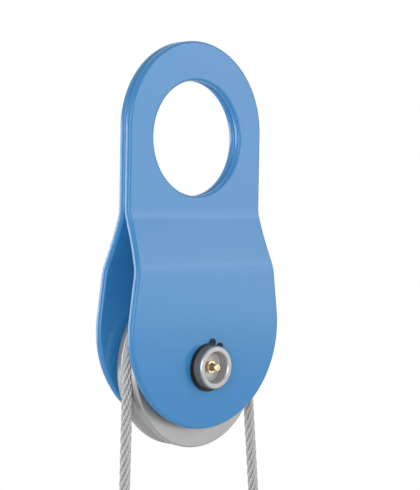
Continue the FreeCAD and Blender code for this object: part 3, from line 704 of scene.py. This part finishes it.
@dataclass(frozen=True)
class WireRope:
    """The laid rope: six strands pressed round a core, each strand with its own round outer wires."""

    DEPTH_LAYER = "depth_in_rope"
    STRAND_LAYER = "strand_number"
    CORE = -1  # number that the core's vertices have in that layer

    # Its route in the plane Y = 0, X and Z in metres, from one cut end to the other.
    ROUTE = (
        (-0.0583, -0.3071),
        (-0.0587, -0.3352),
        (-0.0591, -0.3602),
        (-0.0443, -0.3937),
        (-0.0502, -0.4083),
        (-0.0647, -0.4142),
        (-0.0790, -0.4078),
        (-0.0845, -0.3932),
        (-0.0685, -0.3599),
        (-0.0681, -0.3349),
        (-0.0662, -0.2108),
        (-0.0654, -0.1578),
        (-0.0289, -0.1204),
        (0.0233, -0.1181),
        (0.0628, -0.1523),
        (0.0682, -0.2050),
        (0.0814, -0.3349),
        (0.0839, -0.3598),
        (0.1026, -0.3914),
        (0.0984, -0.4065),
        (0.0846, -0.4141),
        (0.0697, -0.4094),
        (0.0626, -0.3955),
        (0.0745, -0.3607),
        (0.0720, -0.3358),
        (0.0692, -0.3080),
    )

    diameter: float = 9.0 * MM
    strands: int = 6
    wires: int = 6  # outer wires of each strand
    pressed: float = 1.2  # how much wider a strand is than one that only touches its neighbours
    core_share: float = 0.9  # of the room that the strands leave in the middle
    lay: float = 52.0 * MM  # length in which a strand goes once round the rope
    strand_lay: float = 24.0 * MM  # length in which a wire goes once round its strand, the other way
    points_per_wire: int = 5
    points_round_core: int = 6
    step: float = 1.8 * MM  # distance between two rings of the mesh
    crease: float = 80.0  # degrees from which an edge between two faces stays sharp
    weld: float = 0.001 * MM  # distance under which two corners of the mesh become one
    route_order: int = 3
    route_steps: int = 16  # points drawn on the smooth line for each point of the route

    @property
    def strand_radius(self) -> float:
        """Radius of a strand's rounded side; its two neighbours press it flat on the others."""
        share = math.sin(math.pi / self.strands)
        return self.pressed * self.diameter / 2 * share / (1 + share)

    @property
    def strand_circle(self) -> float:
        """Radius of the circle that the middles of the strands lie on."""
        return self.diameter / 2 - self.strand_radius

    @property
    def core_radius(self) -> float:
        """Radius of the core."""
        return self.core_share * (self.strand_circle - self.strand_radius)

    def centreline(self) -> tuple[list[Vector], list[float]]:
        """Read the smooth line that the route's points control.

        Returns:
            The line's points in order, and how far along the line each lies.
        """
        curve = bpy.data.curves.new("rope_route", "CURVE")
        curve.dimensions = "3D"
        spline = curve.splines.new("NURBS")
        spline.points.add(len(self.ROUTE) - 1)
        for control, (x, z) in zip(spline.points, self.ROUTE):
            control.co = (x, 0.0, z, 1.0)
        spline.order_u = self.route_order
        spline.use_endpoint_u = True
        curve.resolution_u = self.route_steps
        guide = bpy.data.objects.new("rope_route", curve)
        line = bpy.data.meshes.new_from_object(guide)
        points = [vertex.co.copy() for vertex in line.vertices]
        bpy.data.objects.remove(guide)
        bpy.data.curves.remove(curve)
        bpy.data.meshes.remove(line)
        along = [0.0]
        for before, after in zip(points, points[1:]):
            along.append(along[-1] + (after - before).length)
        return points, along

    def wire_outline(self, angle: float) -> float:
        """Distance of a strand's outline from its own centre, where round wires lie side by side in a ring.

        Args:
            angle: Angle round the strand.

        Returns:
            The distance.
        """
        share = math.sin(math.pi / self.wires)
        wire_radius = self.strand_radius * share / (1 + share)
        ring = self.strand_radius - wire_radius
        sector = 2 * math.pi / self.wires
        offset = angle % sector - sector / 2
        return ring * math.cos(offset) + math.sqrt(max(wire_radius**2 - (ring * math.sin(offset)) ** 2, 0.0))

    def add_sections(self, work: bmesh.types.BMesh) -> None:
        """Draw the outlines of the numbered strands and of the core in the plane Z = 0.

        Args:
            work: The mesh that takes them.
        """
        layer = work.verts.layers.int.new(self.STRAND_LAYER)
        for strand in range(self.strands):
            points = self.wires * self.points_per_wire
            ring = bmesh.ops.create_circle(work, segments=points, radius=self.strand_radius)["verts"]
            for corner in ring:
                angle = math.atan2(corner.co.y, corner.co.x)
                corner.co = corner.co.normalized() * self.wire_outline(angle)
                corner[layer] = strand
            bmesh.ops.translate(work, verts=ring, vec=(self.strand_circle, 0.0, 0.0))
            turn = Matrix.Rotation(2 * math.pi * strand / self.strands, 3, "Z")
            bmesh.ops.rotate(work, verts=ring, cent=(0.0, 0.0, 0.0), matrix=turn)
        core = bmesh.ops.create_circle(work, segments=self.points_round_core, radius=self.core_radius)
        for corner in core["verts"]:
            corner[layer] = self.CORE

    def lay_straight(self, length: float) -> bmesh.types.BMesh:
        """Twist the sections into one lay along +Z, and repeat it to a straight rope.

        Args:
            length: The rope's length.

        Returns:
            The straight rope.
        """
        lays = round(length / self.lay)
        one_lay = length / lays
        steps = round(one_lay / self.step)
        work = bmesh.new()
        self.add_sections(work)
        bmesh.ops.spin(
            work,
            geom=work.edges[:],
            cent=(0.0, 0.0, 0.0),
            axis=(0.0, 0.0, 1.0),
            dvec=(0.0, 0.0, one_lay / steps),
            angle=2 * math.pi,
            steps=steps,
        )
        pattern = work.verts[:] + work.edges[:] + work.faces[:]
        for number in range(1, lays):
            copy = bmesh.ops.duplicate(work, geom=pattern)["geom"]
            corners = [part for part in copy if isinstance(part, bmesh.types.BMVert)]
            bmesh.ops.translate(work, verts=corners, vec=(0.0, 0.0, number * one_lay))
        bmesh.ops.remove_doubles(work, verts=work.verts[:], dist=self.weld)
        self.twist_strands(work, one_lay)
        close_ends(work)
        return work

    def twist_strands(self, work: bmesh.types.BMesh, one_lay: float) -> None:
        """Turn each strand about its own middle, which lays its wires, and press it between its neighbours.

        Args:
            work: The straight rope.
            one_lay: Length in which a strand goes once round the rope.
        """
        layer = work.verts.layers.int[self.STRAND_LAYER]
        sector = 2 * math.pi / self.strands
        turns = 1 / one_lay + 1 / self.strand_lay
        for vertex in work.verts:
            if vertex[layer] == self.CORE:
                continue
            level = vertex.co.z
            angle = vertex[layer] * sector + 2 * math.pi * level / one_lay
            outwards = Vector((math.cos(angle), math.sin(angle), 0.0))
            middle = outwards * self.strand_circle + Vector((0.0, 0.0, level))
            twist = Matrix.Rotation(-2 * math.pi * level * turns, 3, "Z")
            x, y, _ = middle + twist @ (vertex.co - middle)
            aside = math.remainder(math.atan2(y, x) - angle, 2 * math.pi)
            side = angle + min(max(aside, -sector / 2), sector / 2)
            reach = math.hypot(x, y)
            vertex.co = (reach * math.cos(side), reach * math.sin(side), level)

    def bend_onto(self, work: bmesh.types.BMesh, points: list[Vector], along: list[float]) -> None:
        """Bend a straight rope onto the centreline, and note how deep in the rope each vertex lies.

        Args:
            work: The straight rope.
            points: The centreline's points.
            along: How far along the line each point lies.
        """
        layer = work.verts.layers.float.new(self.DEPTH_LAYER)
        sideways = Vector((0.0, 1.0, 0.0))
        directions = []
        for index in range(len(points)):
            before = points[max(index - 1, 0)]
            after = points[min(index + 1, len(points) - 1)]
            directions.append((after - before).normalized())
        for vertex in work.verts:
            x, y, z = vertex.co
            vertex[layer] = 1 - math.hypot(x, y) / (self.diameter / 2)
            index = min(max(bisect_right(along, z) - 1, 0), len(points) - 2)
            share = (z - along[index]) / (along[index + 1] - along[index])
            centre = points[index].lerp(points[index + 1], share)
            direction = directions[index].lerp(directions[index + 1], share).normalized()
            vertex.co = centre + sideways.cross(direction) * x + sideways * y

    def build(self, with_pieces: list[bpy.types.Object]) -> None:
        """Args:
            with_pieces: The ferrules and thimbles on its ends; not used.
        """
        points, along = self.centreline()
        work = self.lay_straight(along[-1])
        self.bend_onto(work, points, along)
        for edge in work.edges:
            edge.smooth = edge.calc_face_angle(0.0) < math.radians(self.crease)
        rope = finish_mesh(work, "laid_wire_rope", GalvanisedWire().make())
        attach(rope, Body.REAR_SIDE.value)
        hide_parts("wire_rope")
        log.info("wire rope: %.1f mm long, %d faces", along[-1] / MM, len(rope.data.polygons))


@dataclass(frozen=True)
class RopeEnds:
    """The ferrule and the thimble on each end of the rope."""

    leans: tuple[tuple[str, float], ...] = (("left", 0.9), ("right", -5.8))  # degrees, to the right going up
    ferrule_radius: float = 11.0 * MM
    seam_length: float = 35.0 * MM
    seam_width: float = 1.6 * MM
    seam_height: float = 0.4 * MM
    round_share: float = 0.9  # of the seam's height that its rounded edge takes
    round_steps: int = 3

    def build(self) -> list[bpy.types.Object]:
        """Dress ferrules and thimbles and add the seams that the press leaves.

        Returns:
            Every piece on the rope's ends.
        """
        aluminium = PressedAluminium().make()
        zinc = GalvanisedSheet().make()
        pieces = []
        for side, lean in self.leans:
            pieces.append(dress(f"{side}_ferrule", aluminium))
            pieces.append(dress(f"{side}_thimble", zinc))
            pieces.append(self.press_seams(side, lean, aluminium))
        return pieces

    def press_seams(self, side: str, lean: float, material: bpy.types.Material) -> bpy.types.Object:
        """Make the two raised seams along a ferrule, where the halves of the die met.

        Args:
            side: The end of the rope that the ferrule is on.
            lean: The ferrule's lean in degrees.
            material: The ferrule's aluminium.

        Returns:
            The seams, as one piece.
        """
        work = bmesh.new()
        for face in (-1, 1):
            bead = bmesh.ops.create_cube(work, size=1.0)["verts"]
            size = (self.seam_width, 2 * self.seam_height, self.seam_length)
            bmesh.ops.scale(work, verts=bead, vec=size)
            bmesh.ops.translate(work, verts=bead, vec=(0.0, face * self.ferrule_radius, 0.0))
        bmesh.ops.bevel(
            work,
            geom=work.edges[:],
            offset=self.round_share * self.seam_height,
            affect="EDGES",
            segments=self.round_steps,
            profile=0.5,
            material=-1,
        )
        low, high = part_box(f"{side}_ferrule")
        turn = Matrix.Rotation(math.radians(lean), 3, "Y")
        bmesh.ops.rotate(work, verts=work.verts[:], cent=(0.0, 0.0, 0.0), matrix=turn)
        bmesh.ops.translate(work, verts=work.verts[:], vec=(low + high) / 2)
        seams = finish_mesh(work, f"{side}_ferrule_seams", material)
        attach(seams, Body.REAR_SIDE.value)
        log.info("%s: %d faces", seams.name, len(seams.data.polygons))
        return seams


# The block


@dataclass(frozen=True)
class CheekPair:
    """The two joggled plates, painted before they were put together."""

    plates: tuple[str, ...] = ("rear_cheek", "front_cheek")

    def build(self) -> None:
        """Paint both plates."""
        paint = EnamelPaint().make()
        for plate in self.plates:
            dress(plate, paint)


@dataclass(frozen=True)
class AxleSet:
    """The axle and the two circlips that hold it."""

    circlips: tuple[str, ...] = ("front_circlip", "rear_circlip")

    def build(self, axle_height: float) -> None:
        """Dress the axle and its circlips.

        Args:
            axle_height: Height of the axle's centre line.
        """
        far_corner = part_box("axle")[1]
        dress("axle", AxleSteel(axle_height, far_corner.y).make())
        steel = BlackenedSpringSteel().make()
        for circlip in self.circlips:
            dress(circlip, steel)


@dataclass(frozen=True)
class Wheel:
    """The sheave with its bush, and the thrust washers beside its hub."""

    bronze_pieces: tuple[str, ...] = ("sheave_bush", "front_washer", "rear_washer")

    def build(self, axle_height: float) -> None:
        """Dress the sheave, its bush and the washers.

        Args:
            axle_height: Height of the axle's centre line.
        """
        plated = TurnedMetal(
            "zinc_plated_sheave_steel", axle_height, bright="#acacab", dull="#9f9f9e", metallic=0.6
        )
        dress("sheave", plated.make())
        bronze = TurnedMetal("machined_bush_bronze", axle_height, bright="#b08d5c", dull="#96764b").make()
        for piece in self.bronze_pieces:
            dress(piece, bronze)


@dataclass(frozen=True)
class GreaseNipple:
    """The brass nipple in the axle's recess, and its valve: a ball held shut by a spring."""

    wire_radius: float = 0.2 * MM
    spring_turns: int = 6
    points_round_wire: int = 8
    points_per_turn: int = 20

    def build(self, axle_height: float) -> None:
        """Dress nipple and ball and make the spring.

        Args:
            axle_height: Height of the axle's centre line, which is the nipple's too.
        """
        brass = TurnedMetal(
            "turned_nipple_brass",
            axle_height,
            bright="#e8d8b2",
            dull="#dcc89c",
            gloss=(0.22, 0.32),
            pitch=0.8 * MM,
        )
        dress("grease_nipple", brass.make())
        polished = TurnedMetal(
            "bright_valve_steel", axle_height, bright="#d0d0cf", dull="#bdbdbc", gloss=(0.15, 0.25)
        )
        steel = polished.make()
        dress("nipple_ball", steel)
        self.wind_spring(steel)

    def wind_spring(self, material: bpy.types.Material) -> None:
        """Wind the valve's spring along the nipple's bore.

        Args:
            material: The spring's steel.
        """
        low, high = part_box("nipple_spring")
        radius = (high.x - low.x) / 2 - self.wire_radius
        length = high.y - low.y - 2 * self.wire_radius
        steps = self.spring_turns * self.points_per_turn
        work = bmesh.new()
        section = bmesh.ops.create_circle(work, segments=self.points_round_wire, radius=self.wire_radius)
        start = Vector((radius, low.y + self.wire_radius, 0.0))
        bmesh.ops.translate(work, verts=section["verts"], vec=start)
        bmesh.ops.spin(
            work,
            geom=work.edges[:],
            cent=(0.0, 0.0, 0.0),
            axis=(0.0, 1.0, 0.0),
            dvec=(0.0, length / steps, 0.0),
            angle=2 * math.pi * self.spring_turns,
            steps=steps,
        )
        close_ends(work)
        middle = (low + high) / 2
        bmesh.ops.translate(work, verts=work.verts[:], vec=(middle.x, 0.0, middle.z))
        spring = finish_mesh(work, "nipple_valve_spring", material)
        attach(spring, Body.REAR_SIDE.value)
        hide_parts("nipple_spring")
        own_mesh(spring)
        log.info("nipple valve spring: %d turns, %d faces", self.spring_turns, len(spring.data.polygons))


def main() -> None:
    """Build the studio and every piece in order."""
    logging.basicConfig(level=logging.INFO, format="%(name)s: %(message)s")
    PhotoCamera().build()
    ends = RopeEnds().build()
    WireRope().build(ends)
    low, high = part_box("axle")
    axle_height = (low.z + high.z) / 2
    CheekPair().build()
    AxleSet().build(axle_height)
    Wheel().build(axle_height)
    GreaseNipple().build(axle_height)
    Studio().build()


if __name__ == "__main__":
    main()
